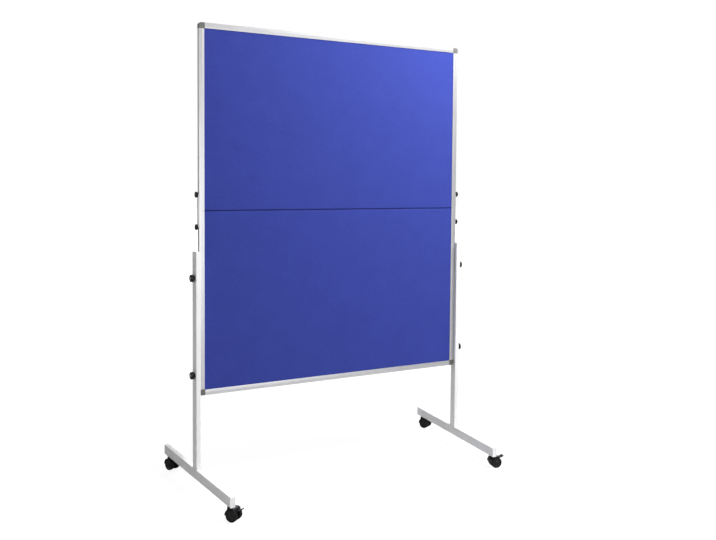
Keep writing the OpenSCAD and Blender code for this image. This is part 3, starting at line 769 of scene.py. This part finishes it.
def soft_lamp(name, power, size, place, target):
    """Rectangular lamp at a place, turned to a target; size is its width and height."""
    lamp = bpy.data.lights.new(name, "AREA")
    lamp.shape = "RECTANGLE"
    lamp.size, lamp.size_y = size
    lamp.energy = power
    direction = Vector(target) - Vector(place)
    turn = direction.to_track_quat("-Z", "Y").to_matrix().to_4x4()
    holder = add_object(name, lamp)
    holder.matrix_world = Matrix.Translation(Vector(place)) @ turn


def overhead_sun(power):
    """Wide, slightly slanting sun that draws soft shadows under the partition."""
    sun = bpy.data.lights.new("overhead_sun", "SUN")
    sun.energy = power
    sun.angle = math.radians(35)
    holder = add_object("overhead_sun", sun)
    holder.rotation_euler = (math.radians(8), math.radians(6), 0)


def white_shader(tree, kind, power):
    """A white Background or Emission."""
    node = tree.nodes.new(kind)
    node.inputs["Color"].default_value = (1, 1, 1, 1)
    node.inputs["Strength"].default_value = power
    return node.outputs[0]


def show_instead(tree, shown_share, plain, shown, output):
    """Puts out the plain shader, with this share of it given over to the one shown."""
    mix = tree.nodes.new("ShaderNodeMixShader")
    tree.links.new(shown_share, mix.inputs["Fac"])
    tree.links.new(plain, mix.inputs[1])
    tree.links.new(shown, mix.inputs[2])
    tree.links.new(mix.outputs[0], output.inputs["Surface"])


def pale_world():
    """White where the camera sees it, partly so in mirrored light; a softer level as light."""
    view = view_settings()
    world = bpy.data.worlds.new("studio_surround")
    bpy.context.scene.world = world
    world.use_nodes = True
    tree = world.node_tree
    tree.nodes.clear()
    path = tree.nodes.new("ShaderNodeLightPath")
    mirrored = combine(tree, "MULTIPLY", path.outputs["Is Glossy Ray"], view.mirror_share)
    seen = combine(tree, "MAXIMUM", path.outputs["Is Camera Ray"], mirrored)
    dim = white_shader(tree, "ShaderNodeBackground", view.world_strength)
    white = white_shader(tree, "ShaderNodeBackground", 1.0)
    show_instead(tree, seen, dim, white, tree.nodes.new("ShaderNodeOutputWorld"))


def pale_floor():
    """Wide floor that keeps soft shadows near the partition and is white to the camera farther off."""
    view = view_settings()
    half_size = 30.0
    gap_below = 0.0002
    floor_level = CAD_BOX[0].z - gap_below
    shadows_reach = 1.5
    white_from = 3.5
    near_share = 0.7
    material, tree, shader = new_finish("studio_floor", view.floor_colour, roughness=0.85,
                                        Specular_IOR_Level=0.1)
    path = tree.nodes.new("ShaderNodeLightPath")
    distance = tree.nodes.new("ShaderNodeVectorMath")
    distance.operation = "LENGTH"
    tree.links.new(object_place(tree), distance.inputs[0])
    glow_share = remap(tree, distance.outputs["Value"], shadows_reach, white_from, near_share, 1.0)
    seen = combine(tree, "MULTIPLY", path.outputs["Is Camera Ray"], glow_share)
    glow = white_shader(tree, "ShaderNodeEmission", view.floor_glow)
    show_instead(tree, seen, shader.outputs[0], glow, tree.nodes["Material Output"])
    bm = bmesh.new()
    bmesh.ops.create_grid(bm, x_segments=4, y_segments=4, size=half_size)
    bmesh.ops.translate(bm, verts=bm.verts, vec=(0, 0, floor_level))
    add_piece("studio_floor", bm, [material])


def photo_camera():
    """Camera at the photograph's place, with its lens axis above the picture's middle."""
    view = view_settings()
    camera = bpy.data.cameras.new("photo_camera")
    camera.sensor_fit = "HORIZONTAL"
    camera.sensor_width = SENSOR_WIDTH
    camera.lens = view.focal_pixels / PHOTO_WIDTH * SENSOR_WIDTH
    camera.shift_y = (view.axis_row - PHOTO_HEIGHT / 2) / PHOTO_WIDTH
    camera.clip_end = 100.0
    forward = Vector((math.sin(view.heading) * math.cos(view.tilt),
                      math.cos(view.heading) * math.cos(view.tilt),
                      -math.sin(view.tilt)))
    level_right = Vector((math.cos(view.heading), -math.sin(view.heading), 0))
    right = Matrix.Rotation(view.roll, 3, forward) @ level_right
    up = right.cross(forward)
    turn = Matrix((right, up, -forward)).transposed().to_4x4()
    holder = add_object("photo_camera", camera)
    holder.matrix_world = Matrix.Translation(Vector(view.position)) @ turn
    bpy.context.scene.camera = holder


class PARTITION_OT_stage(bpy.types.Operator):
    """Sets the camera, the lamps, the pale surround and the floor"""

    bl_idname = "partition.stage"
    bl_label = "Stage"

    def execute(self, context):
        view = view_settings()
        photo_camera()
        pale_world()
        pale_floor()
        soft_lamp("key_lamp", view.key_power, size=(1.0, 1.0),
                  place=(1.4, -1.2, 3.1), target=(0.3, 0, 1.3))
        soft_lamp("fill_lamp", view.fill_power, size=(2.2, 1.6),
                  place=(0.5, -3.6, 0.9), target=(-0.3, 0, 0.7))
        soft_lamp("side_lamp", view.side_power, size=(1.8, 1.8),
                  place=(-2.6, 0.9, 1.4), target=(0, 0, 1.2))
        soft_lamp("back_lamp", view.back_power, size=(1.8, 1.8),
                  place=(0.9, 3.2, 2.0), target=(0, 0, 1.1))
        overhead_sun(view.overhead_strength)
        bpy.context.scene.view_settings.view_transform = "Standard"
        return {"FINISHED"}


# ---- panel and registration ----

class PARTITION_PT_panel(bpy.types.Panel):
    """Buttons and settings of the partition"""

    bl_idname = "PARTITION_PT_panel"
    bl_label = "Rolling partition"
    bl_space_type = "VIEW_3D"
    bl_region_type = "UI"
    bl_category = "Partition"

    def draw(self, context):
        for operator in PIECE_OPERATORS:
            self.layout.operator(operator.bl_idname)
        for group in (finish_settings(), size_settings(), view_settings()):
            box = self.layout.box()
            for name in group.__annotations__:
                box.prop(group, name)


PIECE_OPERATORS = (PARTITION_OT_stage, PARTITION_OT_felt, PARTITION_OT_wheels, PARTITION_OT_stud_ends,
                   PARTITION_OT_frame_finish, PARTITION_OT_leg_finish, PARTITION_OT_fitting_finish)
CLASSES = (PartitionFinish, PartitionSizes, PartitionView, *PIECE_OPERATORS, PARTITION_PT_panel)


def register():
    for cls in CLASSES:
        bpy.utils.register_class(cls)
    bpy.types.Scene.partition_finish = PointerProperty(type=PartitionFinish)
    bpy.types.Scene.partition_sizes = PointerProperty(type=PartitionSizes)
    bpy.types.Scene.partition_view = PointerProperty(type=PartitionView)


def unregister():
    del bpy.types.Scene.partition_view
    del bpy.types.Scene.partition_sizes
    del bpy.types.Scene.partition_finish
    for cls in reversed(CLASSES):
        bpy.utils.unregister_class(cls)


def main():
    register()
    bpy.ops.partition.stage()
    bpy.ops.partition.felt()
    bpy.ops.partition.wheels()
    bpy.ops.partition.stud_ends()
    bpy.ops.partition.frame_finish()
    bpy.ops.partition.leg_finish()
    bpy.ops.partition.fitting_finish()


if __name__ == "__main__":
    main()
